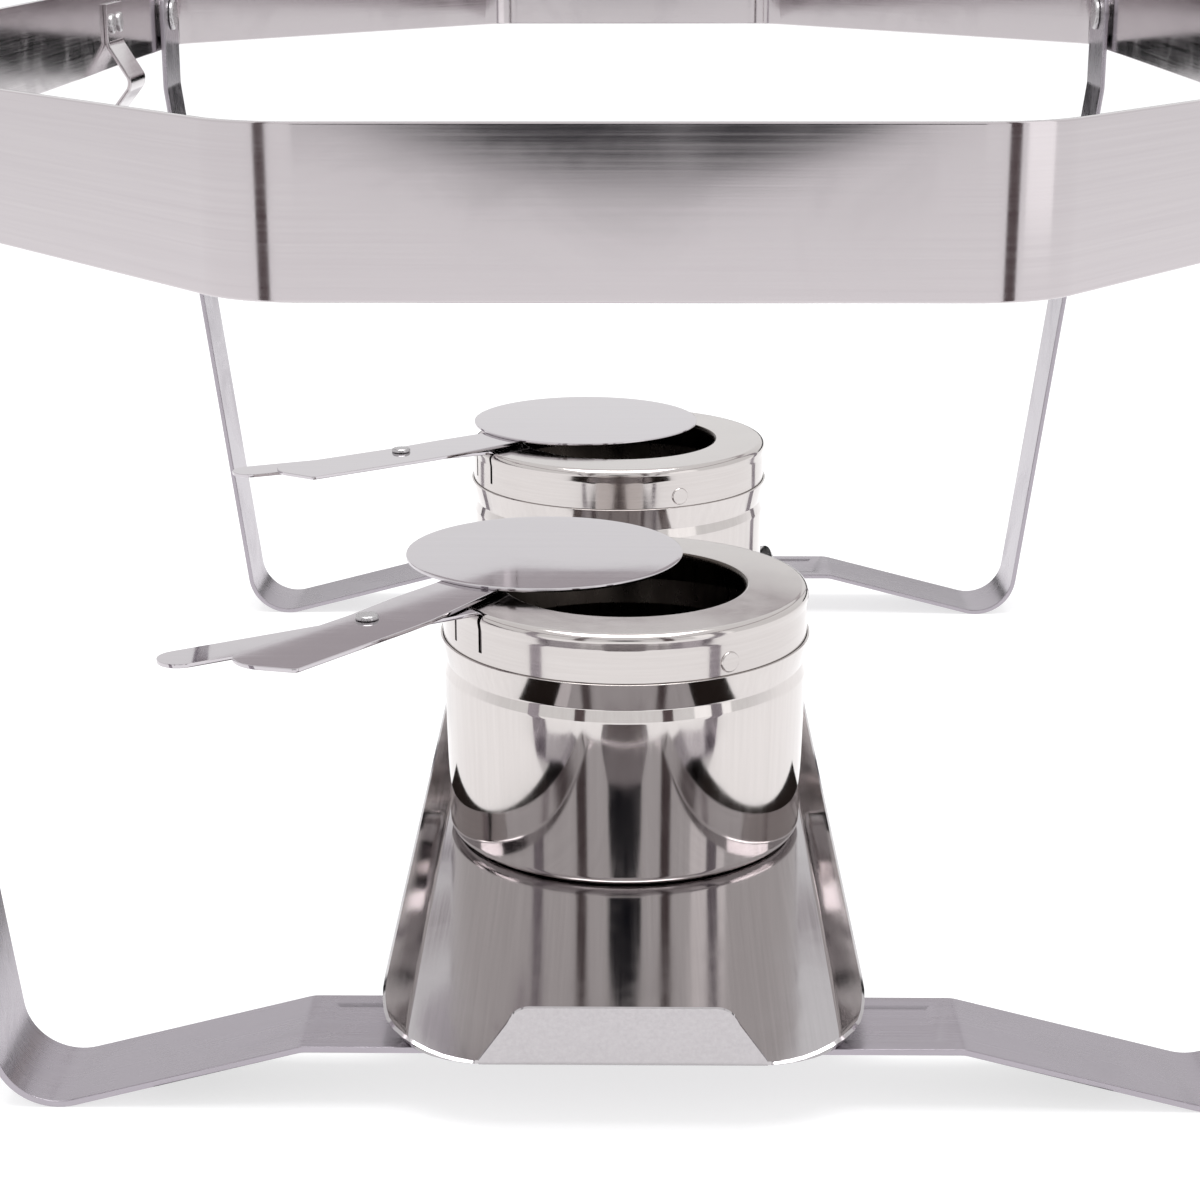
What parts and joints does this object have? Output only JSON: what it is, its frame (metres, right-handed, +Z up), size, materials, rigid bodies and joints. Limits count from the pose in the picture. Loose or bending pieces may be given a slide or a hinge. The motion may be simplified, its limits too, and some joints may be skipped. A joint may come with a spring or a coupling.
{
  "type": "chafing dish food warmer stand",
  "caption": "Folding strip-steel food warmer stand: eight-sided band on two U legs, with a burner tray and two fuel holders with swinging dampers.",
  "frame": {"origin": "on the table, under the middle of the stand", "axes": "+Z up, +Y along the stand from the near end to the far end, +X to the right as seen from the near end"},
  "size_m": [0.3214, 0.67, 0.2197],
  "materials": {
    "band_steel": "satin stainless steel strip",
    "leg_steel": "satin stainless steel strip",
    "rivet_steel": "bright turned stainless steel",
    "tray_steel": "mirror-polished stainless steel sheet",
    "cup_steel": "mirror-polished spun stainless steel",
    "cap_steel": "mirror-polished pressed stainless steel",
    "damper_steel": "mirror-polished stainless steel sheet"
  },
  "bodies": {
    "frame": {"top_band": "band_steel", "side_bracket": "band_steel", "bracket_rivets": "rivet_steel", "near_leg_rivets": "rivet_steel", "far_leg_rivets": "rivet_steel", "near_leg_washers": "rivet_steel", "far_leg_washers": "rivet_steel"},
    "near_leg": {"near_leg": "leg_steel"},
    "far_leg": {"far_leg": "leg_steel"},
    "tray": {"burner_tray": "tray_steel"},
    "near_cup": {"near_cup": "cup_steel"},
    "near_cap": {"near_cap": "cap_steel", "near_handle": "damper_steel", "near_pivot_rivet": "rivet_steel", "near_pivot_washer": "rivet_steel"},
    "near_damper": {"near_damper_disc": "damper_steel", "near_damper_lever": "damper_steel"},
    "far_cup": {"far_cup": "cup_steel"},
    "far_cap": {"far_cap": "cap_steel", "far_handle": "damper_steel", "far_pivot_rivet": "rivet_steel", "far_pivot_washer": "rivet_steel"},
    "far_damper": {"far_damper_disc": "damper_steel", "far_damper_lever": "damper_steel"}
  },
  "joints": [
    {"name": "near_leg_fold", "type": "hinge", "parent": "frame", "child": "near_leg", "pos_m": [0, -0.1824, 0.207], "axis": [1, 0, 0], "range_deg": [0, 90]},
    {"name": "far_leg_fold", "type": "hinge", "parent": "frame", "child": "far_leg", "pos_m": [0, 0.1824, 0.207], "axis": [-1, 0, 0], "range_deg": [0, 75]},
    {"name": "tray_lift", "type": "slide", "parent": "frame", "child": "tray", "axis": [0, 0, 1], "range_m": [0, 0.221]},
    {"name": "near_holder_lift", "type": "slide", "parent": "tray", "child": "near_cup", "axis": [0, 0, 1], "range_m": [0, 0.06]},
    {"name": "near_cap_lift", "type": "slide", "parent": "near_cup", "child": "near_cap", "axis": [0, 0, 1], "range_m": [0, 0.04]},
    {"name": "near_damper_swing", "type": "hinge", "parent": "near_cap", "child": "near_damper", "pos_m": [-0.06322, -0.10666, 0.081], "axis": [0, 0, 1], "range_deg": [-22.5, 67.5]},
    {"name": "far_holder_lift", "type": "slide", "parent": "tray", "child": "far_cup", "axis": [0, 0, 1], "range_m": [0, 0.06]},
    {"name": "far_cap_lift", "type": "slide", "parent": "far_cup", "child": "far_cap", "axis": [0, 0, 1], "range_m": [0, 0.04]},
    {"name": "far_damper_swing", "type": "hinge", "parent": "far_cap", "child": "far_damper", "pos_m": [-0.07109, 0.07001, 0.081], "axis": [0, 0, 1], "range_deg": [-14, 76]}
  ],
  "couplings": [
    {"joint": "far_leg_fold", "follows": "near_leg_fold", "ratio": 0.8333},
    {"joint": "tray_lift", "follows": "near_leg_fold", "m_per_rad": 0.14}
  ]
}
